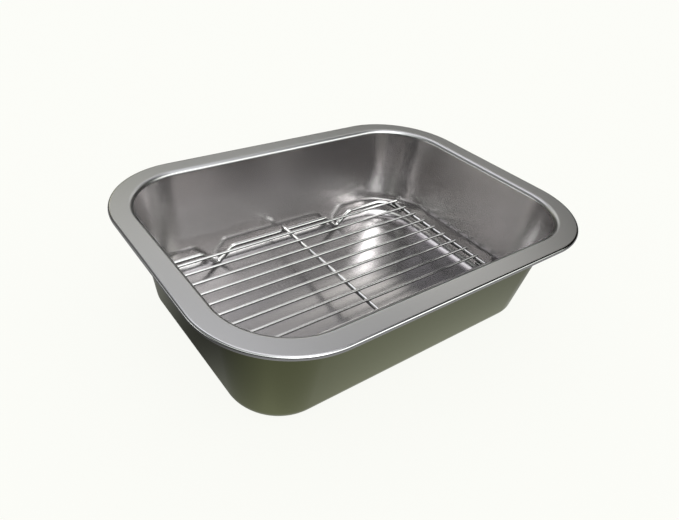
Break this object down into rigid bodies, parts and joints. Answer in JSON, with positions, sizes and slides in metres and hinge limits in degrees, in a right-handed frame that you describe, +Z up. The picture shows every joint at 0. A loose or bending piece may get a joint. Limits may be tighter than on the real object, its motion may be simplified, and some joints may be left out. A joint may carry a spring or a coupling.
{
  "type": "roasting pan with rack",
  "caption": "Deep rectangular steel roasting pan with a wide flat rolled rim and a loose wire rack on bent V feet standing on its floor.",
  "frame": {"origin": "centre of the pan's base, on the surface it stands on", "axes": "+X along the pan's long side, +Y across it towards the back, +Z up"},
  "size_m": [0.35, 0.258, 0.0933],
  "materials": {
    "pan_steel": "satin pressed stainless steel",
    "wire_steel": "bright polished wire"
  },
  "bodies": {
    "pan": {"pan_body": "pan_steel"},
    "rack": {"long_wire_01": "wire_steel", "long_wire_02": "wire_steel", "long_wire_03": "wire_steel", "long_wire_04": "wire_steel", "long_wire_05": "wire_steel", "long_wire_06": "wire_steel", "long_wire_07": "wire_steel", "long_wire_08": "wire_steel", "long_wire_09": "wire_steel", "long_wire_10": "wire_steel", "cross_wire_left": "wire_steel", "cross_wire_middle": "wire_steel", "cross_wire_right": "wire_steel", "foot_wire_back": "wire_steel", "foot_wire_front": "wire_steel"}
  },
  "joints": [
    {"name": "rack_lift", "type": "slide", "parent": "pan", "child": "rack", "axis": [0, 0, 1], "range_m": [0, 0.095]}
  ]
}
